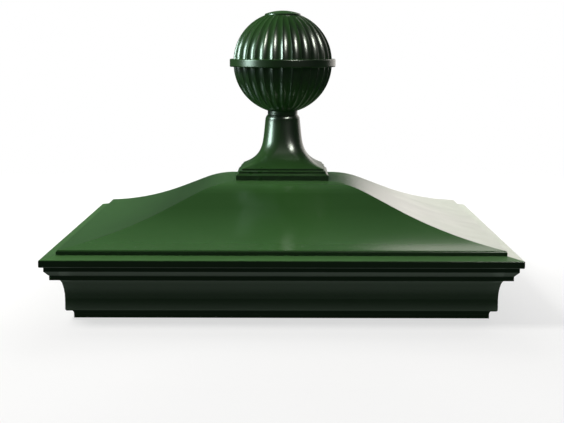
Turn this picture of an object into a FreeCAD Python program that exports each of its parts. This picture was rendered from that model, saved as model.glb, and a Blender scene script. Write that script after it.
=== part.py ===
import FreeCAD, Part
import math
import os
import re
import Sketcher
from FreeCAD import Vector

# A square pier cap with a fluted ball finial, in millimetres.
# The origin is the middle of the skirt's lower edge, +Z is up and -Y is the front.
# Thin-walled castings are stacked on the pillar head and clamped by one threaded rod.

SIZES = {
    # Pillar head and the skirt round it
    "pillar_width": 430,
    "skirt_gap": 4,
    "skirt_depth": 9,
    "wall": 4,
    "bearing_width": 23.5,
    "strip_thick": 2,
    "strip_inset": 2,
    # Cornice, from the lip up to the eave
    "lip_height": 4.4,
    "lip_cove_width": 2.6,
    "lip_cove_height": 4.3,
    "lip_cove_radius": 5,
    "frieze_step": 8.1,
    "frieze_round": 2.4,
    "frieze_height": 13.5,
    "cavetto_large": 60,
    "cavetto_small": 10,
    "cavetto_joint_angle": 16,
    "cavetto_end_angle": 58,
    "lower_fillet_height": 4.6,
    "bevel_width": 5.2,
    "bevel_height": 5.4,
    "upper_fillet_height": 4.6,
    "nose_setback": 4.5,
    "face_height": 7.8,
    "face_round": 1.6,
    "face_edge": 0.8,
    "eave_overhang": 40,
    "ledge_width": 16.1,
    "ledge_rise": 3.3,
    "flange_width": 48.9,
    "rib_thick": 4,
    "rib_spacing": 130,
    # Roof
    "foot_height": 2.95,
    "nosing_radius": 2.5,
    "eave_angle": 7.84,
    "valley_radius": 380,
    "slope_angle": 24.5,
    "crown_radius": 116,
    "crown_half": 50,
    "rim_width": 16.9,
    "crown_boss_radius": 28,
    "crown_boss_height": 12,
    "seal_inset": 4,
    "seal_width": 8,
    "seal_thick": 1.8,
    # Screws between roof and cornice
    "screw_inset": 38.9,
    "screw_spacing": 240,
    "screw_radius": 2.5,
    "screw_length": 12,
    "screw_head_radius": 4.75,
    "screw_head_height": 3,
    "screw_washer_radius": 5.5,
    "screw_washer_thick": 1,
    "screw_boss_radius": 7,
    "thread_gap": 0.05,
    "hole_gap": 0.5,
    # Plinth
    "plinth_half": 54.8,
    "plate_height": 5.4,
    "plate_bevel_width": 3.2,
    "plate_bevel_height": 2.5,
    "tier_height": 2,
    "tier_bevel_width": 1.8,
    "tier_bevel_height": 1.2,
    "nut_room": 16,
    "gasket_inner": 26,
    "gasket_outer": 46,
    "gasket_thick": 2,
    # Pedestal and neck
    "pedestal_foot_half": 48.8,
    "pedestal_foot_height": 2.1,
    "flare_height": 55.6,
    "flare_share": 0.19,
    "flare_power": 5,
    "neck_radius": 21.05,
    "corner_round_start": 0.04,
    "corner_round_end": 0.98,
    "corner_round_power": 3,
    "shoulder_height": 6.1,
    "shoulder_radius": 6.5,
    "pedestal_bore": 15,
    "collar_radius": 18.1,
    "collar_height": 5,
    "spigot_length": 4,
    "spigot_gap": 0.3,
    # Ball
    "ball_radius": 59.5,
    "ball_wall": 5,
    "flute_depth": 2.3,
    "ball_floor": 7.5,
    "band_radius": 64.05,
    "band_height": 9.6,
    "band_round": 1.2,
    "band_wall": 4,
    "band_above_centre": 3.1,
    "band_below_centre": 3.8,
    # Button
    "button_radius": 21.6,
    "button_rim": 1.5,
    "button_dome": 4,
    "button_boss_radius": 10,
    "button_boss_length": 26,
    "button_seal_radius": 18.5,
    "button_seal_thick": 1,
    # Rod, nuts, pins and anchor plate
    "rod_radius": 6,
    "rod_start": 21,
    "rod_chamfer": 1,
    "rod_end_gap": 3,
    "nut_flats": 19,
    "nut_height": 10.8,
    "locknut_height": 6,
    "coupling_height": 36,
    "rod_washer_radius": 12,
    "rod_washer_thick": 2.5,
    "pin_radius": 2,
    "pin_length": 10,
    "pin_offset": 21,
    "plate_width": 300,
    "plate_thick": 5,
    "plate_corner": 20,
    "plate_window": 70,
    "anchor_spacing": 240,
    "anchor_hole_radius": 5.5,
}

# Places that follow from the sizes. Levels are heights above the skirt's lower edge,
# and each _half is a distance from the middle plane to a face.
PLACES = {
    "pillar_half": "pillar_width / 2",
    "skirt_half": "pillar_half + skirt_gap",
    "lip_half": "skirt_half + wall",
    "frieze_half": "lip_half + frieze_step",
    "bearing_level": "skirt_depth + strip_thick",
    "bearing_top": "bearing_level + wall",
    "bearing_half": "skirt_half - bearing_width",
    "frieze_base": "lip_height + lip_cove_height",
    "cavetto_base": "frieze_base + frieze_height",
    "joint_half": "frieze_half + cavetto_large * (1 - cos(cavetto_joint_angle))",
    "joint_level": "cavetto_base + cavetto_large * sin(cavetto_joint_angle)",
    "small_centre_half": "joint_half + cavetto_small * cos(cavetto_joint_angle)",
    "small_centre_level": "joint_level - cavetto_small * sin(cavetto_joint_angle)",
    "soffit_half": "small_centre_half - cavetto_small * cos(cavetto_end_angle)",
    "soffit_level": "small_centre_level + cavetto_small * sin(cavetto_end_angle)",
    "eave_half": "pillar_half + eave_overhang",
    "upper_fillet_half": "eave_half - nose_setback",
    "lower_fillet_half": "upper_fillet_half - bevel_width",
    "bevel_base": "soffit_level + lower_fillet_height",
    "bevel_top": "bevel_base + bevel_height",
    "face_base": "bevel_top + upper_fillet_height",
    "eave_level": "face_base + face_height",
    "foot_half": "eave_half - ledge_width",
    "seat_level": "eave_level + ledge_rise",
    "flange_half": "foot_half - flange_width",
    "ledge_angle": "atan(ledge_rise / ledge_width)",
    "nosing_reach": "nosing_radius * tan(45 - eave_angle / 2)",
    "nosing_half": "foot_half - nosing_reach * cos(eave_angle)",
    "nosing_level": "seat_level + foot_height + nosing_reach * (1 + sin(eave_angle))",
    "valley_centre_half": "nosing_half + valley_radius * sin(eave_angle)",
    "valley_centre_level": "nosing_level + valley_radius * cos(eave_angle)",
    "valley_end_half": "valley_centre_half - valley_radius * sin(slope_angle)",
    "valley_end_level": "valley_centre_level - valley_radius * cos(slope_angle)",
    "crown_start_half": "crown_half + crown_radius * sin(slope_angle)",
    "crown_start_level": "valley_end_level + (valley_end_half - crown_start_half) * tan(slope_angle)",
    "crown_level": "crown_start_level + crown_radius * (1 - cos(slope_angle))",
    "rim_half": "foot_half - rim_width",
    "rim_rise": "sqrt((valley_radius + wall)^2 - (valley_centre_half - rim_half)^2)",
    "screw_half": "foot_half - screw_inset",
    "boss_edge_half": "screw_half + screw_boss_radius",
    "boss_rise": "sqrt((valley_radius + wall)^2 - (valley_centre_half - boss_edge_half)^2)",
    "boss_height": "valley_centre_level - boss_rise + wall / 2 - seat_level",
    "screw_base": "seat_level - wall - screw_washer_thick",
    "screw_top": "screw_base + screw_length",
    "tier_half": "plinth_half - plate_bevel_width",
    "plinth_top_half": "tier_half - tier_bevel_width",
    "tier_base": "crown_level + plate_height + plate_bevel_height",
    "plinth_top": "tier_base + tier_height + tier_bevel_height",
    "flare_base": "plinth_top + pedestal_foot_height",
    "shoulder_base": "flare_base + flare_height",
    "pedestal_top": "shoulder_base + shoulder_height",
    "collar_top": "pedestal_top + collar_height",
    "lower_depth": "sqrt(ball_radius^2 - collar_radius^2)",
    "lower_centre": "collar_top + lower_depth",
    "band_base": "lower_centre - band_below_centre",
    "band_top": "band_base + band_height",
    "upper_centre": "band_top - band_above_centre",
    "button_base": "upper_centre + sqrt(ball_radius^2 - button_radius^2)",
    "cavity_radius": "ball_radius - ball_wall",
    "spigot_radius": "sqrt(cavity_radius^2 - (band_below_centre + spigot_length)^2) - spigot_gap",
    "thread_end": "button_base - wall",
    "rod_top": "thread_end - rod_end_gap",
    "plate_top": "skirt_depth + plate_thick",
    "nut_corner": "nut_flats / 2 / cos(30)",
}

FLUTES = 32
FLARE_STATIONS = (0, 0.05, 0.1, 0.16, 0.24, 0.36, 0.55, 0.78, 1)

document = FreeCAD.newDocument("pier_cap")
sheet = document.addObject("Spreadsheet::Sheet", "dims")
for row, (alias, number) in enumerate(SIZES.items(), start=1):
    sheet.set(f"A{row}", alias)
    sheet.set(f"B{row}", str(number))
    sheet.setAlias(f"B{row}", alias)
document.recompute()

subparts = []


def tied(expression):
    """Spells out every place and reads every size from the sheet."""

    def word(match):
        name = match.group(0)
        if name in PLACES:
            return "(" + tied(PLACES[name]) + ")"
        if name in SIZES:
            return "dims." + name
        return name

    return re.sub(r"[A-Za-z_]\w*", word, str(expression))


def value(expression):
    """The number that an expression has now."""
    return float(sheet.evalExpression(tied(expression)))


def bind(item, path, expression):
    item.setExpression(path, tied(expression))


def new_body(label, several=False):
    """A body that is one sub-part; several allows separate solids, as in a set of screws."""
    body = document.addObject("PartDesign::Body", label)
    body.Label = label
    body.AllowCompound = several
    subparts.append(body)
    return body


def origin_item(body, role):
    return next(item for item in body.Origin.OriginFeatures if item.Role == role)


def new_sketch(body, name, role, shift=(0, 0, 0)):
    """A sketch on one of the body's own planes, moved by three expressions in the sketch's axes."""
    sketch = body.newObject("Sketcher::SketchObject", name)
    sketch.AttachmentSupport = [(origin_item(body, role), "")]
    sketch.MapMode = "FlatFace"
    for axis, amount in zip("xyz", shift):
        if amount != 0:
            bind(sketch, f"AttachmentOffset.Base.{axis}", amount)
    return sketch


def arc_between(start, end, radius):
    """A short arc; a positive radius has its centre on the left of the way from start to end."""
    half_chord = (end - start) * 0.5
    left = Vector(-half_chord.y, half_chord.x, 0).normalize()
    reach = math.sqrt(radius * radius - half_chord.Length ** 2)
    centre = start + half_chord + left * math.copysign(reach, radius)
    first, last = (start, end) if radius > 0 else (end, start)
    turn = math.atan2(first.y - centre.y, first.x - centre.x)
    stop = math.atan2(last.y - centre.y, last.x - centre.x)
    if stop < turn:
        stop += 2 * math.pi
    circle = Part.Circle(centre, Vector(0, 0, 1), abs(radius))
    return Part.ArcOfCircle(circle, turn, stop)


def place_point(sketch, edge, vertex, across, up):
    """Ties one end of an edge to two expressions."""
    for kind, expression in (("DistanceX", across), ("DistanceY", up)):
        constraint = Sketcher.Constraint(kind, -1, 1, edge, vertex, value(expression))
        number = sketch.addConstraint(constraint)
        bind(sketch, f"Constraints[{number}]", expression)


def draw_outline(sketch, corners, arcs=None):
    """A closed outline; arcs gives the radius of the edge that leaves a corner, by its number."""
    arcs = arcs or {}
    points = [Vector(value(across), value(up), 0) for across, up in corners]
    radii = {number: value(radius) for number, radius in arcs.items()}
    first_edge = sketch.GeometryCount
    for number, start in enumerate(points):
        end = points[(number + 1) % len(points)]
        if number in radii:
            sketch.addGeometry(arc_between(start, end, radii[number]), False)
        else:
            sketch.addGeometry(Part.LineSegment(start, end), False)
    starts = [2 if radii.get(number, 1) < 0 else 1 for number in range(len(points))]
    for number, corner in enumerate(corners):
        following = (number + 1) % len(points)
        sketch.addConstraint(Sketcher.Constraint(
            "Coincident", first_edge + number, 3 - starts[number],
            first_edge + following, starts[following]))
        place_point(sketch, first_edge + number, starts[number], *corner)
    for number, radius in arcs.items():
        constraint = Sketcher.Constraint("Radius", first_edge + number, abs(radii[number]))
        index = sketch.addConstraint(constraint)
        bind(sketch, f"Constraints[{index}]", f"abs({radius})")


def draw_circle(sketch, across, up, radius):
    centre = Vector(value(across), value(up), 0)
    edge = sketch.addGeometry(Part.Circle(centre, Vector(0, 0, 1), value(radius)), False)
    place_point(sketch, edge, 3, across, up)
    number = sketch.addConstraint(Sketcher.Constraint("Radius", edge, value(radius)))
    bind(sketch, f"Constraints[{number}]", radius)


def draw_rectangle(sketch, left, right, bottom, top):
    draw_outline(sketch, [(left, bottom), (right, bottom), (right, top), (left, top)])


def add_pad(body, name, sketch, length):
    pad = body.newObject("PartDesign::Pad", name)
    pad.Profile = sketch
    bind(pad, "Length", length)
    return pad


def add_pocket(body, name, sketch, length):
    """A pocket upwards from its sketch."""
    pocket = body.newObject("PartDesign::Pocket", name)
    pocket.Profile = sketch
    pocket.Reversed = True
    bind(pocket, "Length", length)
    return pocket


def add_turned(body, name, corners, arcs=None, cut=False, shift=(0, 0, 0)):
    """A full turn of an outline about its sketch's upright axis."""
    sketch = new_sketch(body, f"{name}_outline", "XZ_Plane", shift)
    draw_outline(sketch, corners, arcs)
    kind = "PartDesign::Groove" if cut else "PartDesign::Revolution"
    turned = body.newObject(kind, name)
    turned.Profile = sketch
    turned.ReferenceAxis = (sketch, ["V_Axis"])
    turned.Angle = 360
    return turned


def add_polar(body, name, features, count):
    """Repeats features about the upright axis."""
    document.recompute()
    pattern = body.newObject("PartDesign::PolarPattern", name)
    pattern.Originals = features
    pattern.Axis = (origin_item(body, "Z_Axis"), [""])
    pattern.Angle = 360
    pattern.Occurrences = count
    body.Tip = pattern
    return pattern


def add_mitred(body, name, half, corners, arcs=None):
    """Runs a moulding's section round a square, with mitred corners; corners are (half, level)."""
    path = new_sketch(body, f"{name}_path", "XY_Plane")
    low = f"-({half})"
    draw_outline(path, [("0", low), (half, low), (half, half), (low, half), (low, low)])
    section = new_sketch(body, f"{name}_section", "YZ_Plane")
    mirrored = {number: f"-({radius})" for number, radius in (arcs or {}).items()}
    draw_outline(section, [(f"-({across})", up) for across, up in corners], mirrored)
    pipe = body.newObject("PartDesign::AdditivePipe", name)
    pipe.Profile = section
    pipe.Spine = (path, [f"Edge{number}" for number in range(1, 6)])
    pipe.Transition = "Right corner"
    return pipe


def make_cornice_frame():
    """The cornice casting: skirt, frieze, cavetto, fillets and ledge, with two inner flanges."""
    body = new_body("cornice_frame")
    inner_small = "(cavetto_small + wall)"
    inner_large = "(cavetto_large + wall)"
    corners = [
        ("lip_half", "0"),
        ("lip_half", "lip_height"),
        ("lip_half + lip_cove_width", "frieze_base"),
        ("frieze_half - frieze_round", "frieze_base"),
        ("frieze_half", "frieze_base + frieze_round"),
        ("frieze_half", "cavetto_base"),
        ("joint_half", "joint_level"),
        ("soffit_half", "soffit_level"),
        ("lower_fillet_half", "soffit_level"),
        ("lower_fillet_half", "bevel_base"),
        ("upper_fillet_half", "bevel_top"),
        ("upper_fillet_half", "face_base"),
        ("eave_half - face_round", "face_base"),
        ("eave_half", "face_base + face_round"),
        ("eave_half", "eave_level - face_edge"),
        ("eave_half - face_edge * cos(ledge_angle)", "eave_level + face_edge * sin(ledge_angle)"),
        ("foot_half", "seat_level"),
        ("flange_half", "seat_level"),
        ("flange_half", "seat_level - wall"),
        ("foot_half", "seat_level - wall"),
        ("upper_fillet_half - wall", "eave_level - wall"),
        ("upper_fillet_half - wall", "bevel_top"),
        ("lower_fillet_half - wall", "bevel_base"),
        ("lower_fillet_half - wall", "soffit_level + wall"),
        (f"small_centre_half - {inner_small} * cos(cavetto_end_angle)",
         f"small_centre_level + {inner_small} * sin(cavetto_end_angle)"),
        (f"frieze_half + cavetto_large - {inner_large} * cos(cavetto_joint_angle)",
         f"cavetto_base + {inner_large} * sin(cavetto_joint_angle)"),
        ("frieze_half - wall", "cavetto_base"),
        ("frieze_half - wall", "bearing_top"),
        ("bearing_half", "bearing_top"),
        ("bearing_half", "bearing_level"),
        ("skirt_half", "bearing_level"),
        ("skirt_half", "0"),
    ]
    arcs = {
        1: "-lip_cove_radius",
        3: "frieze_round",
        5: "-cavetto_large",
        6: "-cavetto_small",
        12: "face_round",
        14: "face_edge / tan(45 deg - ledge_angle / 2)",
        24: inner_small,
        25: inner_large,
    }
    add_mitred(body, "moulding", "eave_half", corners, arcs)
    add_cornice_ribs(body)
    holes = new_sketch(body, "screw_hole_places", "XY_Plane", (0, 0, "seat_level - wall"))
    for side in (-1, 1):
        draw_circle(holes, f"{side} * screw_spacing / 2", "-(screw_half)", "screw_radius + hole_gap")
    pocket = add_pocket(body, "screw_holes", holes, "wall")
    add_polar(body, "all_screw_holes", [pocket], 4)


def add_cornice_ribs(body):
    """Upright webs inside the casting, from the bearing flange up to the roof flange."""
    ribs = []
    for side in (-1, 1):
        place = f"{side} * rib_spacing / 2"
        sketch = new_sketch(body, f"rib_outline_{len(ribs)}", "YZ_Plane", (0, 0, place))
        draw_outline(sketch, [
            ("-(bearing_half + wall)", "bearing_top - wall / 2"),
            ("-(frieze_half - wall / 2)", "bearing_top - wall / 2"),
            ("-(frieze_half - wall / 2)", "cavetto_base"),
            ("-(joint_half - wall / 2)", "joint_level"),
            ("-(lower_fillet_half - wall - wall / 2)", "soffit_level + wall / 2"),
            ("-(lower_fillet_half - wall / 2)", "soffit_level + wall / 2"),
            ("-(lower_fillet_half - wall / 2)", "bevel_base"),
            ("-(upper_fillet_half - wall / 2)", "bevel_top"),
            ("-(upper_fillet_half - wall / 2)", "eave_level - wall / 2"),
            ("-(foot_half)", "seat_level - wall / 2"),
            ("-(flange_half + wall)", "seat_level - wall / 2"),
        ])
        rib = add_pad(body, f"rib_{len(ribs)}", sketch, "rib_thick")
        rib.Midplane = True
        ribs.append(rib)
    add_polar(body, "all_ribs", ribs, 4)


def make_bedding_strips():
    """Four rubber strips between the bearing flange and the pillar head."""
    body = new_body("bedding_strips", several=True)
    sketch = new_sketch(body, "strip_outline", "XY_Plane", (0, 0, "skirt_depth"))
    inner = "bearing_half + strip_inset"
    draw_rectangle(sketch, "-(bearing_half)", "bearing_half", "-(skirt_half - strip_inset)", f"-({inner})")
    strip = add_pad(body, "strip", sketch, "strip_thick")
    add_polar(body, "all_strips", [strip], 4)


def make_roof_shell():
    """The ogee roof casting with its foot, seal groove, crown boss and eight screw bosses."""
    body = new_body("roof_shell")
    inner_valley = "(valley_radius + wall)"
    inner_crown = "(crown_radius - wall)"
    boss_inner = "crown_boss_radius - wall * 2"
    groove_outer = "foot_half - seal_inset"
    groove_inner = "foot_half - seal_inset - seal_width"
    corners = [
        ("foot_half", "seat_level"),
        ("foot_half", "seat_level + foot_height"),
        ("nosing_half", "nosing_level"),
        ("valley_end_half", "valley_end_level"),
        ("crown_start_half", "crown_start_level"),
        ("crown_half", "crown_level"),
        (boss_inner, "crown_level"),
        (boss_inner, "crown_level - wall"),
        ("crown_half", "crown_level - wall"),
        (f"crown_half + {inner_crown} * sin(slope_angle)",
         f"crown_level - crown_radius + {inner_crown} * cos(slope_angle)"),
        (f"valley_centre_half - {inner_valley} * sin(slope_angle)",
         f"valley_centre_level - {inner_valley} * cos(slope_angle)"),
        ("rim_half", "valley_centre_level - rim_rise"),
        ("rim_half", "seat_level"),
        (groove_inner, "seat_level"),
        (groove_inner, "seat_level + seal_thick"),
        (groove_outer, "seat_level + seal_thick"),
        (groove_outer, "seat_level"),
    ]
    arcs = {
        1: "nosing_radius",
        2: "-valley_radius",
        4: "crown_radius",
        8: f"-{inner_crown}",
        10: inner_valley,
    }
    add_mitred(body, "ogee", "foot_half", corners, arcs)
    crown = new_sketch(body, "crown_boss_outline", "XY_Plane", (0, 0, "crown_level - crown_boss_height"))
    draw_circle(crown, "0", "0", "crown_boss_radius")
    add_pad(body, "crown_boss", crown, "crown_boss_height")
    bosses = new_sketch(body, "screw_boss_places", "XY_Plane", (0, 0, "seat_level"))
    taps = new_sketch(body, "tapped_hole_places", "XY_Plane", (0, 0, "seat_level"))
    for side in (-1, 1):
        place = (f"{side} * screw_spacing / 2", "-(screw_half)")
        draw_circle(bosses, *place, "screw_boss_radius")
        draw_circle(taps, *place, "screw_radius + thread_gap")
    boss = add_pad(body, "screw_bosses", bosses, "boss_height")
    add_polar(body, "all_screw_bosses", [boss], 4)
    tap = add_pocket(body, "tapped_holes", taps, "screw_top - seat_level + hole_gap")
    add_polar(body, "all_tapped_holes", [tap], 4)
    rod_hole = new_sketch(body, "rod_hole_place", "XY_Plane", (0, 0, "crown_level - crown_boss_height"))
    draw_circle(rod_hole, "0", "0", "rod_radius + hole_gap")
    add_pocket(body, "rod_hole", rod_hole, "crown_boss_height")
    add_pin_holes(body, "crown_level - pin_length / 2", turned_by_quarter=False)


def add_pin_holes(body, level, turned_by_quarter):
    """Two blind holes for locating pins, half a pin deep."""
    axis = "y" if turned_by_quarter else "x"
    sketch = new_sketch(body, f"pin_hole_places_{axis}", "XY_Plane", (0, 0, level))
    for side in (-1, 1):
        place = ("0", f"{side} * pin_offset") if turned_by_quarter else (f"{side} * pin_offset", "0")
        draw_circle(sketch, *place, "pin_radius + thread_gap")
    add_pocket(body, f"pin_holes_{axis}", sketch, "pin_length / 2")


def make_pins(label, level, turned_by_quarter):
    """Two locating pins, half in the piece below and half in the piece above."""
    body = new_body(label, several=True)
    sketch = new_sketch(body, "pin_places", "XY_Plane", (0, 0, level))
    for side in (-1, 1):
        place = ("0", f"{side} * pin_offset") if turned_by_quarter else (f"{side} * pin_offset", "0")
        draw_circle(sketch, *place, "pin_radius")
    add_pad(body, "pins", sketch, "pin_length")


def make_roof_seal():
    """The square rubber seal in the groove under the roof's foot."""
    body = new_body("roof_seal")
    outer = "foot_half - seal_inset"
    inner = "foot_half - seal_inset - seal_width"
    add_mitred(body, "seal", outer, [
        (outer, "seat_level"),
        (outer, "seat_level + seal_thick"),
        (inner, "seat_level + seal_thick"),
        (inner, "seat_level"),
    ])


def make_roof_fasteners():
    """Eight pan-head screws and their washers, driven from below."""
    screws = new_body("roof_screws", several=True)
    washers = new_body("roof_washers", several=True)
    screw_parts = []
    washer_parts = []
    for side in (-1, 1):
        place = (f"{side} * screw_spacing / 2", 0, "screw_half")
        screw_parts.append(add_turned(screws, f"screw_{len(screw_parts)}", [
            ("0", "screw_base - screw_head_height"),
            ("screw_head_radius * 0.7", "screw_base - screw_head_height"),
            ("screw_head_radius", "screw_base - screw_head_height * 0.5"),
            ("screw_head_radius", "screw_base"),
            ("screw_radius", "screw_base"),
            ("screw_radius", "screw_top"),
            ("0", "screw_top"),
        ], {1: "screw_head_radius * 0.5"}, shift=place))
        washer_parts.append(add_turned(washers, f"washer_{len(washer_parts)}", [
            ("screw_radius + thread_gap", "screw_base"),
            ("screw_washer_radius", "screw_base"),
            ("screw_washer_radius", "screw_base + screw_washer_thick"),
            ("screw_radius + thread_gap", "screw_base + screw_washer_thick"),
        ], shift=place))
    add_polar(screws, "all_screws", screw_parts, 4)
    add_polar(washers, "all_washers", washer_parts, 4)


def make_plinth_gasket():
    """A thin square rubber gasket in the plinth's recess."""
    body = new_body("plinth_gasket")
    add_mitred(body, "gasket", "gasket_outer", [
        ("gasket_inner", "crown_level"),
        ("gasket_outer", "crown_level"),
        ("gasket_outer", "crown_level + gasket_thick"),
        ("gasket_inner", "crown_level + gasket_thick"),
    ])


def make_plinth_base():
    """The stepped square plinth with an opening for the nut on the crown."""
    body = new_body("plinth_base")
    add_mitred(body, "steps", "plinth_half", [
        ("nut_room", "crown_level"),
        ("gasket_inner", "crown_level"),
        ("gasket_inner", "crown_level + gasket_thick"),
        ("gasket_outer", "crown_level + gasket_thick"),
        ("gasket_outer", "crown_level"),
        ("plinth_half", "crown_level"),
        ("plinth_half", "crown_level + plate_height"),
        ("tier_half", "tier_base"),
        ("tier_half", "tier_base + tier_height"),
        ("plinth_top_half", "plinth_top"),
        ("nut_room", "plinth_top"),
    ])
    add_pin_holes(body, "crown_level", turned_by_quarter=False)
    add_pin_holes(body, "plinth_top - pin_length / 2", turned_by_quarter=True)


def draw_rounded_square(sketch, half, radius):
    """A square about the origin with its four corners rounded."""
    flat = f"({half} - {radius})"
    corners = [
        (f"-{flat}", f"-({half})"),
        (flat, f"-({half})"),
        (half, f"-{flat}"),
        (half, flat),
        (flat, half),
        (f"-{flat}", half),
        (f"-({half})", flat),
        (f"-({half})", f"-{flat}"),
    ]
    draw_outline(sketch, corners, {number: radius for number in (1, 3, 5, 7)})


def make_pedestal():
    """The pedestal: a square foot that sweeps up and turns into a round neck."""
    body = new_body("pedestal")
    foot = new_sketch(body, "foot_outline", "XY_Plane", (0, 0, "plinth_top"))
    draw_rounded_square(foot, "pedestal_foot_half", "(pedestal_foot_half * corner_round_start)")
    add_pad(body, "foot", foot, "pedestal_foot_height")
    sections = []
    for number, station in enumerate(FLARE_STATIONS):
        spread = f"(flare_share * {1 - station} + (1 - flare_share) * {1 - station}^flare_power)"
        half = f"(neck_radius + (pedestal_foot_half - neck_radius) * {spread})"
        squareness = f"(corner_round_end - corner_round_start) * {1 - station}^corner_round_power"
        sketch = new_sketch(body, f"flare_outline_{number}", "XY_Plane",
                            (0, 0, f"flare_base + flare_height * {station}"))
        draw_rounded_square(sketch, half, f"({half} * (corner_round_end - {squareness}))")
        sections.append(sketch)
    loft = body.newObject("PartDesign::AdditiveLoft", "flare")
    loft.Profile = sections[0]
    loft.Sections = sections[1:]
    add_turned(body, "shoulder", [
        ("0", "shoulder_base - wall"),
        ("neck_radius * 0.99", "shoulder_base - wall"),
        ("neck_radius * 0.99", "shoulder_base"),
        ("collar_radius", "pedestal_top"),
        ("0", "pedestal_top"),
    ], {2: "shoulder_radius"})
    bore = new_sketch(body, "bore_outline", "XY_Plane", (0, 0, "plinth_top"))
    draw_circle(bore, "0", "0", "pedestal_bore")
    add_pocket(body, "bore", bore, "pedestal_top - plinth_top")
    add_pin_holes(body, "plinth_top", turned_by_quarter=True)


def make_neck_collar():
    """The turned ring between pedestal and ball, centred in the pedestal's bore."""
    body = new_body("neck_collar")
    add_turned(body, "collar", [
        ("rod_radius + hole_gap", "pedestal_top - spigot_length"),
        ("pedestal_bore - spigot_gap", "pedestal_top - spigot_length"),
        ("pedestal_bore - spigot_gap", "pedestal_top"),
        ("collar_radius", "pedestal_top"),
        ("collar_radius", "collar_top"),
        ("rod_radius + hole_gap", "collar_top"),
    ])


def arc_poles(start, middle_reach, end, weight):
    """Three control points of an exact arc with their weights."""
    return [(start, 1), (middle_reach, weight), (end, 1)]


def fluted_face(turn, centre_level, low_level, high_level):
    """One hollow flute: a section that shrinks with the sphere's cosine from equator to pole."""
    radius = value("ball_radius")
    step = 2 * math.pi / FLUTES
    inner = radius - value("flute_depth")
    sharp = [Vector(radius * math.cos(turn + side), radius * math.sin(turn + side), 0)
             for side in (0, step)]
    chord_middle = (sharp[0] + sharp[1]) * 0.5
    outward = Vector(chord_middle.x, chord_middle.y, 0).normalize()
    sagitta = chord_middle.Length - inner
    half_chord = (sharp[1] - sharp[0]).Length / 2
    half_angle = 2 * math.atan(sagitta / half_chord)
    reach = chord_middle - outward * (half_chord * math.tan(half_angle))
    across = arc_poles(sharp[0], reach, sharp[1], math.cos(half_angle))

    low = math.asin((low_level - centre_level) / radius)
    high = math.asin((high_level - centre_level) / radius)
    half_rise = (high - low) / 2
    middle = (high + low) / 2
    far = 1 / math.cos(half_rise)
    upwards = arc_poles((math.cos(low), math.sin(low)),
                        (far * math.cos(middle), far * math.sin(middle)),
                        (math.cos(high), math.sin(high)),
                        math.cos(half_rise))

    poles = [[Vector(point.x * shrink, point.y * shrink, centre_level + radius * lift)
              for (shrink, lift), _ in upwards] for point, _ in across]
    weights = [[first * second for _, second in upwards] for _, first in across]
    surface = Part.BSplineSurface()
    surface.buildFromPolesMultsKnots(poles, [3, 3], [3, 3], [0, 1], [0, 1], False, False, 2, 2, weights)
    return surface.toShape()


def rim_face(faces, level):
    """The flat face that closes a fluted form at one level."""
    edges = [edge for face in faces for edge in face.Edges
             if all(abs(vertex.Z - level) < 1e-6 for vertex in edge.Vertexes)]
    return Part.Face(Part.Wire(Part.__sortEdges__(edges)))


def fluted_form(name, centre, low, high):
    """A solid slice of the fluted sphere between two levels."""
    low_level = value(low)
    high_level = value(high)
    faces = [fluted_face(2 * math.pi * number / FLUTES, value(centre), low_level, high_level)
             for number in range(FLUTES)]
    caps = [rim_face(faces, low_level), rim_face(faces, high_level)]
    shell = Part.makeShell(faces + caps)
    shell.sewShape()
    form = document.addObject("Part::Feature", name)
    form.Shape = Part.makeSolid(shell)
    return form


def cut_hollow(label, form, corners, arcs):
    """Takes a turned hollow out of a fluted form."""
    hollow = document.addObject("PartDesign::Body", f"{label}_hollow")
    add_turned(hollow, "hollow", corners, arcs)
    cut = document.addObject("Part::Cut", label)
    cut.Base = form
    cut.Tool = hollow
    cut.Label = label
    subparts.append(cut)


def make_ball_lower_half():
    """The lower fluted half, open at the band and with a floor on the collar."""
    form = fluted_form("lower_form", "lower_centre", "collar_top", "band_base")
    floor = "(collar_top + ball_floor)"
    floor_radius = f"sqrt(cavity_radius^2 - (lower_centre - {floor})^2)"
    mouth_radius = "sqrt(cavity_radius^2 - band_below_centre^2)"
    cut_hollow("ball_lower_half", form, [
        ("0", "collar_top - wall"),
        ("rod_radius + hole_gap", "collar_top - wall"),
        ("rod_radius + hole_gap", floor),
        (floor_radius, floor),
        (mouth_radius, "band_base"),
        (mouth_radius, "band_base + wall"),
        ("0", "band_base + wall"),
    ], {3: "cavity_radius"})


def make_ball_upper_half():
    """The upper fluted half, open at the band and bored for the button's boss."""
    form = fluted_form("upper_form", "upper_centre", "band_top", "button_base")
    ceiling = "(button_base - ball_floor)"
    ceiling_radius = f"sqrt(cavity_radius^2 - ({ceiling} - upper_centre)^2)"
    mouth_radius = "sqrt(cavity_radius^2 - band_above_centre^2)"
    cut_hollow("ball_upper_half", form, [
        ("0", "band_top - wall"),
        (mouth_radius, "band_top - wall"),
        (mouth_radius, "band_top"),
        (ceiling_radius, ceiling),
        ("button_boss_radius + hole_gap", ceiling),
        ("button_boss_radius + hole_gap", "button_base + wall"),
        ("0", "button_base + wall"),
    ], {2: "cavity_radius"})


def make_ball_band():
    """The plain band between the halves, with a spigot into each."""
    body = new_body("ball_band")
    inner = "spigot_radius - band_wall"
    add_turned(body, "band", [
        (inner, "band_base - spigot_length"),
        ("spigot_radius", "band_base - spigot_length"),
        ("spigot_radius", "band_base"),
        ("band_radius - band_round", "band_base"),
        ("band_radius", "band_base + band_round"),
        ("band_radius", "band_top - band_round"),
        ("band_radius - band_round", "band_top"),
        ("spigot_radius", "band_top"),
        ("spigot_radius", "band_top + spigot_length"),
        (inner, "band_top + spigot_length"),
    ], {3: "band_round", 5: "band_round"})


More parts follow.
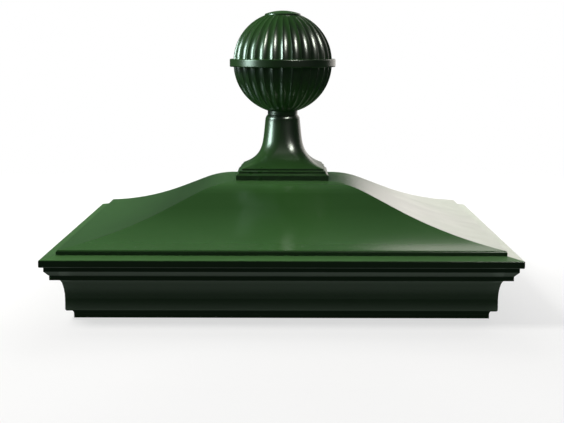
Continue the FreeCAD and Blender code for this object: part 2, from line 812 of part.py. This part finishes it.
def make_top_button():
    """The domed button: a blind nut whose boss reaches down into the ball."""
    body = new_body("top_button")
    rim_level = "(button_base + button_rim)"
    dome_radius = "((button_radius^2 + button_dome^2) / (2 * button_dome))"
    add_turned(body, "button", [
        ("0", "thread_end"),
        ("rod_radius + thread_gap", "thread_end"),
        ("rod_radius + thread_gap", "button_base - button_boss_length"),
        ("button_boss_radius", "button_base - button_boss_length"),
        ("button_boss_radius", "button_base + button_seal_thick"),
        ("button_seal_radius", "button_base + button_seal_thick"),
        ("button_seal_radius", "button_base"),
        ("button_radius", "button_base"),
        ("button_radius", rim_level),
        ("0", f"{rim_level} + button_dome"),
    ], {8: dome_radius})


def make_button_seal():
    """The rubber washer under the button."""
    body = new_body("button_seal")
    add_turned(body, "seal", [
        ("button_boss_radius + hole_gap", "button_base"),
        ("button_seal_radius", "button_base"),
        ("button_seal_radius", "button_base + button_seal_thick"),
        ("button_boss_radius + hole_gap", "button_base + button_seal_thick"),
    ])


def make_tie_rod():
    """The threaded rod from the coupling nut up into the button."""
    body = new_body("tie_rod")
    add_turned(body, "rod", [
        ("0", "rod_start"),
        ("rod_radius - rod_chamfer", "rod_start"),
        ("rod_radius", "rod_start + rod_chamfer"),
        ("rod_radius", "rod_top - rod_chamfer"),
        ("rod_radius - rod_chamfer", "rod_top"),
        ("0", "rod_top"),
    ])


def make_hex_nut(label, level, height):
    """A hexagon nut on the rod with its corners turned off at both ends."""
    body = new_body(label)
    sketch = new_sketch(body, "hexagon", "XY_Plane", (0, 0, level))
    corners = [(f"nut_corner * cos({angle})", f"nut_corner * sin({angle})") for angle in range(0, 360, 60)]
    draw_outline(sketch, corners)
    add_pad(body, "nut", sketch, height)
    chamfer = "(nut_corner - nut_flats / 2)"
    for name, end, inward in (("low", level, 1), ("high", f"{level} + {height}", -1)):
        add_turned(body, f"{name}_corners", [
            ("nut_flats / 2", end),
            ("nut_corner + wall", end),
            ("nut_corner + wall", f"{end} + {inward} * ({chamfer} + wall) * tan(30)"),
        ], cut=True)
    bore = new_sketch(body, "bore_outline", "XY_Plane", (0, 0, level))
    draw_circle(bore, "0", "0", "rod_radius + thread_gap")
    add_pocket(body, "bore", bore, height)


def make_crown_washer():
    body = new_body("crown_washer")
    add_turned(body, "washer", [
        ("rod_radius + hole_gap", "crown_level"),
        ("rod_washer_radius", "crown_level"),
        ("rod_washer_radius", "crown_level + rod_washer_thick"),
        ("rod_radius + hole_gap", "crown_level + rod_washer_thick"),
    ])


def make_anchor_plate():
    """The steel plate on the pillar head, with four windows and four anchor holes."""
    body = new_body("anchor_plate")
    outline = new_sketch(body, "plate_outline", "XY_Plane", (0, 0, "skirt_depth"))
    draw_rounded_square(outline, "(plate_width / 2)", "plate_corner")
    add_pad(body, "plate", outline, "plate_thick")
    window = new_sketch(body, "window_outline", "XY_Plane", (0, 0, "skirt_depth"))
    middle = "(plate_width / 4 + nut_corner / 2)"
    draw_rectangle(window, "-plate_window / 2", "plate_window / 2",
                   f"-{middle} - plate_window / 2", f"-{middle} + plate_window / 2")
    windows = add_pocket(body, "window", window, "plate_thick")
    add_polar(body, "all_windows", [windows], 4)
    anchor = new_sketch(body, "anchor_hole_place", "XY_Plane", (0, 0, "skirt_depth"))
    draw_circle(anchor, "anchor_spacing / 2", "anchor_spacing / 2", "anchor_hole_radius")
    anchors = add_pocket(body, "anchor_hole", anchor, "plate_thick")
    add_polar(body, "all_anchor_holes", [anchors], 4)


def check_model():
    """Stops when any object failed or any sub-part has no good shape."""
    for item in document.Objects:
        if "Invalid" in item.State or "Error" in item.State:
            raise RuntimeError(f"{item.Name} failed: {item.State}")
    for item in subparts:
        if item.Shape.isNull() or not item.Shape.isValid() or not item.Shape.Solids:
            raise RuntimeError(f"{item.Label} has no valid solid")


def write_steps():
    os.makedirs("parts", exist_ok=True)
    for item in subparts:
        item.Shape.exportStep(f"parts/{item.Label}.step")


make_anchor_plate()
make_hex_nut("coupling_nut", "plate_top", "coupling_height")
make_hex_nut("rod_locknut", "plate_top + coupling_height", "locknut_height")
make_tie_rod()
make_bedding_strips()
make_cornice_frame()
make_roof_seal()
make_roof_shell()
make_roof_fasteners()
make_crown_washer()
make_hex_nut("crown_nut", "crown_level + rod_washer_thick", "nut_height")
make_plinth_gasket()
make_pins("plinth_dowels", "crown_level - pin_length / 2", turned_by_quarter=False)
make_plinth_base()
make_pins("pedestal_dowels", "plinth_top - pin_length / 2", turned_by_quarter=True)
make_pedestal()
make_neck_collar()
make_ball_lower_half()
make_ball_band()
make_ball_upper_half()
make_button_seal()
make_top_button()
document.recompute()
check_model()
write_steps()
for item in subparts:
    box = item.Shape.BoundBox
    print(f"{item.Label}: {len(item.Shape.Solids)} solids, {item.Shape.Volume:.0f} mm3, "
          f"z {box.ZMin:.2f} to {box.ZMax:.2f}, x {box.XMin:.2f} to {box.XMax:.2f}")
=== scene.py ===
import math

import bpy
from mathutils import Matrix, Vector


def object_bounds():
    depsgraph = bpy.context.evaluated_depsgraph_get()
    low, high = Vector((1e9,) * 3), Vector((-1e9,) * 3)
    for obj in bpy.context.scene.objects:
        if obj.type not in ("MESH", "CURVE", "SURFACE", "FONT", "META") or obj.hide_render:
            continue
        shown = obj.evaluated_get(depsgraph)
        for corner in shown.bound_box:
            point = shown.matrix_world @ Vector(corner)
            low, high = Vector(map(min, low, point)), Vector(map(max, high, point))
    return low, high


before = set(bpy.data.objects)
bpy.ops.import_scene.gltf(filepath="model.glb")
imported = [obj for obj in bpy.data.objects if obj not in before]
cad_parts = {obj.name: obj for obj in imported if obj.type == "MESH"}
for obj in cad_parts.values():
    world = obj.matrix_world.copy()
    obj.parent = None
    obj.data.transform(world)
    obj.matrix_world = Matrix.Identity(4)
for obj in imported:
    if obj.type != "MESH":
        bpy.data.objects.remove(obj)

CAD_LOW, CAD_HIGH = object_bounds()

# The painted castings and the material slot each one wears
CASTINGS = {
    "cornice_frame": "cornice_paint",
    "roof_shell": "roof_paint",
    "plinth_base": "finial_paint",
    "pedestal": "finial_paint",
    "neck_collar": "finial_paint",
    "ball_lower_half": "finial_paint",
    "ball_band": "finial_paint",
    "ball_upper_half": "finial_paint",
    "top_button": "finial_paint",
}
STEEL_NODES = ("tie_rod", "plinth_dowels", "pedestal_dowels", "roof_screws", "roof_washers")
NUT_NODES = ("coupling_nut", "rod_locknut", "crown_nut", "crown_washer")
RUBBER_NODES = ("bedding_strips", "roof_seal", "plinth_gasket", "button_seal")

# Linear colours of the paint; the lighter ones are painted light, put on faces that look to the sky
PAINT_DARK = (0.027, 0.090, 0.018, 1)
PAINT_LIGHT = (0.032, 0.102, 0.022, 1)
PAINT_SKYLIT = {
    "cornice_paint": (0.088, 0.222, 0.066, 1),
    "roof_paint": (0.056, 0.158, 0.042, 1),
    "finial_paint": (0.056, 0.158, 0.042, 1),
}
# How far up a face must look before it takes the painted light, and where that light is full
SKYLIT_START = 0.90
SKYLIT_FULL = 0.985
PAINT_ROUGHNESS = {"cornice_paint": 0.22, "roof_paint": 0.22, "finial_paint": 0.29}

FLOOR_RADIUS = 3.0
FLOOR_SIDES = 96
FLOOR_GAP = 0.0002
FLOOR_GREY = (0.30, 0.30, 0.30, 1)
FLOOR_GLOW = 0.67
SURROUND_STRENGTH = 0.045

# Lights that act on the matt part only: name, place, watts
KEY_LIGHTS = (
    ("key_right", (1.26, 1.61, 1.53), 15),
    ("key_left", (-1.26, 1.61, 1.53), 17),
    ("key_top", (-1.5, 0.05, 1.85), 42),
    ("key_back", (0.0, 2.2, 0.9), 50),
)
BOUNCE_REACH = 0.262
BOUNCE_LEVEL = 0.003


def set_sockets(shader, **values):
    """Sets a shader's own sockets; an underscore stands for a space."""
    for name, number in values.items():
        shader.inputs[name.replace("_", " ")].default_value = number


class Nodes:
    """A short way to add and join shader nodes."""

    def __init__(self, tree):
        self.tree = tree
        self.tree.nodes.clear()

    def add(self, kind, **settings):
        node = self.tree.nodes.new(kind)
        for name, setting in settings.items():
            setattr(node, name, setting)
        return node

    def join(self, output, target):
        self.tree.links.new(output, target)

    def noise(self, place, scale, detail=3.0, roughness=0.5):
        """A noise texture whose scale counts features per metre."""
        node = self.add("ShaderNodeTexNoise")
        node.inputs["Scale"].default_value = scale
        node.inputs["Detail"].default_value = detail
        node.inputs["Roughness"].default_value = roughness
        self.join(place, node.inputs["Vector"])
        return node.outputs["Fac"]

    def spread(self, source, low, high, start=0.3, stop=0.7):
        """Maps a texture's range onto low to high."""
        node = self.add("ShaderNodeMapRange")
        node.inputs["From Min"].default_value = start
        node.inputs["From Max"].default_value = stop
        node.inputs["To Min"].default_value = low
        node.inputs["To Max"].default_value = high
        self.join(source, node.inputs["Value"])
        return node.outputs["Result"]

    def mix(self, amount, first, second):
        """Mixes two colours; either may be a fixed colour or an output."""
        node = self.add("ShaderNodeMix", data_type="RGBA")
        self.join(amount, node.inputs["Factor"])
        for name, colour in (("A", first), ("B", second)):
            socket = next(s for s in node.inputs if s.name == name and s.type == "RGBA")
            if isinstance(colour, tuple):
                socket.default_value = colour
            else:
                self.join(colour, socket)
        return next(s for s in node.outputs if s.type == "RGBA")

    def bump(self, height, strength, distance, onto=None):
        node = self.add("ShaderNodeBump")
        node.inputs["Strength"].default_value = strength
        node.inputs["Distance"].default_value = distance
        self.join(height, node.inputs["Height"])
        if onto is not None:
            self.join(onto, node.inputs["Normal"])
        return node.outputs["Normal"]


def new_material(name):
    material = bpy.data.materials.new(name)
    material.use_nodes = True
    nodes = Nodes(material.node_tree)
    shader = nodes.add("ShaderNodeBsdfPrincipled")
    output = nodes.add("ShaderNodeOutputMaterial")
    nodes.join(shader.outputs["BSDF"], output.inputs["Surface"])
    place = nodes.add("ShaderNodeTexCoord").outputs["Object"]
    return material, nodes, shader, place


def paint_material(name, roughness, skylit):
    """Glossy green powder coat over a casting: orange peel, mottling, and painted light, a lighter colour
    where it faces the sky.
    """
    material, nodes, shader, place = new_material(name)
    mottle = nodes.spread(nodes.noise(place, 9, 4), 0, 1)
    colour = nodes.mix(mottle, PAINT_DARK, PAINT_LIGHT)
    facing = nodes.add("ShaderNodeSeparateXYZ")
    nodes.join(nodes.add("ShaderNodeNewGeometry").outputs["Normal"], facing.inputs["Vector"])
    # Painted light: faces that look up get a lighter colour, broken up a little by noise
    skylit_amount = nodes.add("ShaderNodeMath", operation="MULTIPLY")
    nodes.join(nodes.spread(facing.outputs["Z"], 0, 1, SKYLIT_START, SKYLIT_FULL), skylit_amount.inputs[0])
    nodes.join(nodes.spread(nodes.noise(place, 14, 5, 0.6), 0.85, 1), skylit_amount.inputs[1])
    nodes.join(nodes.mix(skylit_amount.outputs["Value"], colour, skylit), shader.inputs["Base Color"])
    smears = nodes.noise(place, 28, 5, 0.6)
    nodes.join(nodes.spread(smears, roughness * 0.92, roughness * 1.08), shader.inputs["Roughness"])
    peel = nodes.bump(nodes.noise(place, 420, 2), 0.05, 0.0005)
    waves = nodes.bump(nodes.noise(place, 45, 2), 0.002, 0.002, onto=peel)
    nodes.join(waves, shader.inputs["Normal"])
    set_sockets(shader, Coat_Weight=0.15, Coat_Roughness=0.2, Specular_IOR_Level=0.5)
    return material


def steel_material(name, colour, roughness, scale):
    """Drawn or rolled steel with fine streaks."""
    material, nodes, shader, place = new_material(name)
    stretch = nodes.add("ShaderNodeMapping")
    stretch.inputs["Scale"].default_value = (1, 1, 0.08)
    nodes.join(place, stretch.inputs["Vector"])
    streaks = nodes.noise(stretch.outputs["Vector"], scale, 4, 0.6)
    shade = tuple(c * 0.72 for c in colour[:3]) + (1,)
    nodes.join(nodes.mix(nodes.spread(streaks, 0, 1), shade, colour), shader.inputs["Base Color"])
    nodes.join(nodes.spread(streaks, roughness * 0.8, roughness * 1.25), shader.inputs["Roughness"])
    nodes.join(nodes.bump(streaks, 0.12, 0.0003), shader.inputs["Normal"])
    set_sockets(shader, Metallic=1.0)
    return material


def zinc_material(name):
    """Hot-dip galvanising with its spangle and a dull bloom."""
    material, nodes, shader, place = new_material(name)
    cells = nodes.add("ShaderNodeTexVoronoi")
    cells.inputs["Scale"].default_value = 110
    nodes.join(place, cells.inputs["Vector"])
    spangle = nodes.add("ShaderNodeSeparateColor")
    nodes.join(cells.outputs["Color"], spangle.inputs["Color"])
    grain = nodes.spread(spangle.outputs["Red"], 0, 1, 0, 1)
    colour = nodes.mix(grain, (0.40, 0.42, 0.43, 1), (0.62, 0.64, 0.66, 1))
    nodes.join(colour, shader.inputs["Base Color"])
    bloom = nodes.noise(place, 60, 5, 0.6)
    nodes.join(nodes.spread(bloom, 0.38, 0.62), shader.inputs["Roughness"])
    nodes.join(nodes.bump(bloom, 0.15, 0.0005), shader.inputs["Normal"])
    set_sockets(shader, Metallic=0.9)
    return material


def rubber_material(name):
    """Matt black rubber with a fine skin."""
    material, nodes, shader, place = new_material(name)
    skin = nodes.noise(place, 900, 3)
    bloom = nodes.spread(nodes.noise(place, 40, 4), 0, 1)
    colour = nodes.mix(bloom, (0.016, 0.016, 0.017, 1), (0.034, 0.034, 0.035, 1))
    nodes.join(colour, shader.inputs["Base Color"])
    nodes.join(nodes.spread(skin, 0.62, 0.8), shader.inputs["Roughness"])
    nodes.join(nodes.bump(skin, 0.3, 0.0002), shader.inputs["Normal"])
    return material


def dress(node, material):
    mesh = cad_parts[node].data
    mesh.materials.clear()
    mesh.materials.append(material)


def dress_frame():
    # Each paint gets its lighter colour for the painted light on upward faces
    paints = {slot: paint_material(slot, gloss, PAINT_SKYLIT[slot]) for slot, gloss in PAINT_ROUGHNESS.items()}
    for node, slot in CASTINGS.items():
        dress(node, paints[slot])
    steel = steel_material("rod_steel", (0.56, 0.56, 0.57, 1), 0.28, 300)
    for node in STEEL_NODES:
        dress(node, steel)
    nut = steel_material("nut_zinc", (0.66, 0.66, 0.64, 1), 0.34, 160)
    for node in NUT_NODES:
        dress(node, nut)
    dress("anchor_plate", zinc_material("plate_zinc"))
    rubber = rubber_material("seal_rubber")
    for node in RUBBER_NODES:
        dress(node, rubber)


def add_floor():
    """A pale round floor that fades into the white surroundings."""
    turns = [2 * math.pi * i / FLOOR_SIDES for i in range(FLOOR_SIDES)]
    ring = [(FLOOR_RADIUS * math.cos(turn), FLOOR_RADIUS * math.sin(turn), 0) for turn in turns]
    wedges = [(0, i + 1, (i + 1) % FLOOR_SIDES + 1) for i in range(FLOOR_SIDES)]
    mesh = bpy.data.meshes.new("floor")
    mesh.from_pydata([(0, 0, 0)] + ring, [], wedges)
    floor = bpy.data.objects.new("floor", mesh)
    floor.location.z = CAD_LOW.z - FLOOR_GAP
    bpy.context.scene.collection.objects.link(floor)
    material = bpy.data.materials.new("floor_pale")
    material.use_nodes = True
    nodes = Nodes(material.node_tree)
    output = nodes.add("ShaderNodeOutputMaterial")
    place = nodes.add("ShaderNodeTexCoord").outputs["Object"]
    distance = nodes.add("ShaderNodeVectorMath", operation="LENGTH")
    nodes.join(place, distance.inputs[0])
    fade = nodes.spread(distance.outputs["Value"], 0, 1, 0.5, 1.5)
    matt = nodes.add("ShaderNodeBsdfDiffuse")
    matt.inputs["Color"].default_value = FLOOR_GREY
    glow = nodes.add("ShaderNodeEmission")
    glow.inputs["Strength"].default_value = FLOOR_GLOW
    lit = nodes.add("ShaderNodeAddShader")
    nodes.join(matt.outputs["BSDF"], lit.inputs[0])
    nodes.join(glow.outputs["Emission"], lit.inputs[1])
    clear = nodes.add("ShaderNodeBsdfTransparent")
    blend = nodes.add("ShaderNodeMixShader")
    nodes.join(fade, blend.inputs[0])
    nodes.join(lit.outputs["Shader"], blend.inputs[1])
    nodes.join(clear.outputs["BSDF"], blend.inputs[2])
    nodes.join(blend.outputs["Shader"], output.inputs["Surface"])
    mesh.materials.append(material)
    floor.visible_glossy = False
    floor.visible_diffuse = False


def add_world():
    """White behind the object; a dim cool surround lights it."""
    world = bpy.data.worlds.new("studio")
    bpy.context.scene.world = world
    world.use_nodes = True
    nodes = Nodes(world.node_tree)
    output = nodes.add("ShaderNodeOutputWorld")
    white = nodes.add("ShaderNodeBackground")
    white.inputs["Color"].default_value = (1, 1, 1, 1)
    white.inputs["Strength"].default_value = 1.0
    dim = nodes.add("ShaderNodeBackground")
    dim.inputs["Color"].default_value = (0.85, 0.93, 1.0, 1)
    dim.inputs["Strength"].default_value = SURROUND_STRENGTH
    path = nodes.add("ShaderNodeLightPath")
    blend = nodes.add("ShaderNodeMixShader")
    nodes.join(path.outputs["Is Camera Ray"], blend.inputs[0])
    nodes.join(dim.outputs["Background"], blend.inputs[1])
    nodes.join(white.outputs["Background"], blend.inputs[2])
    nodes.join(blend.outputs["Shader"], output.inputs["Surface"])


def add_light(name, place, target, width, height, watts, colour):
    """A soft rectangular light that the camera doesn't see."""
    data = bpy.data.lights.new(name, "AREA")
    data.shape = "RECTANGLE"
    data.size = width
    data.size_y = height
    data.energy = watts
    data.color = colour
    light = bpy.data.objects.new(name, data)
    light.location = place
    light.rotation_euler = (Vector(target) - Vector(place)).to_track_quat("-Z", "Y").to_euler()
    light.visible_camera = False
    bpy.context.scene.collection.objects.link(light)
    return light


def add_lights():
    """Matt keys behind and to the left, a warm panel behind, two gloss lights and four strips below."""
    for name, place, watts in KEY_LIGHTS:
        key = add_light(name, place, (0, 0, 0.1), 1.0, 0.9, watts, (1.0, 0.99, 0.96))
        key.visible_glossy = False
    add_light("panel_right", (1.40, 2.15, 0.75), (0, 0, 0.15), 2.4, 1.6, 16.8, (1.0, 0.935, 0.895))
    cool = add_light("left_cool", (-1.55, -0.35, 0.66), (0, 0, 0.2), 0.6, 0.8, 54, (0.76, 0.98, 0.91))
    cool.visible_diffuse = False
    warm = add_light("right_warm", (0.765, -1.053, 1.293), (0, 0, 0.2), 0.5, 0.5, 42, (0.95, 1.0, 0.88))
    warm.visible_diffuse = False
    for side in range(4):
        turn = math.radians(90 * side)
        place = (BOUNCE_REACH * math.sin(turn), -BOUNCE_REACH * math.cos(turn), BOUNCE_LEVEL)
        above = (place[0], place[1], 1)
        bounce = add_light(f"bounce_{side}", place, above, 0.56, 0.06, 0.037, (0.86, 1.0, 0.88))
        bounce.rotation_euler = (math.pi, 0, turn)
        bounce.visible_diffuse = False


def add_camera():
    """The viewing angle: nearly level, straight at the front, a long way back."""
    data = bpy.data.cameras.new("camera")
    data.sensor_width = 36
    data.lens = 88.75
    data.dof.use_dof = False
    camera = bpy.data.objects.new("camera", data)
    camera.location = (0.0074, -1.6927, 0.2966)
    camera.rotation_euler = (math.radians(90 - 7.03), math.radians(-0.08), math.radians(0.28))
    bpy.context.scene.collection.objects.link(camera)
    bpy.context.scene.camera = camera


add_camera()
dress_frame()
add_floor()
add_world()
add_lights()
bpy.context.scene.view_settings.view_transform = "Standard"
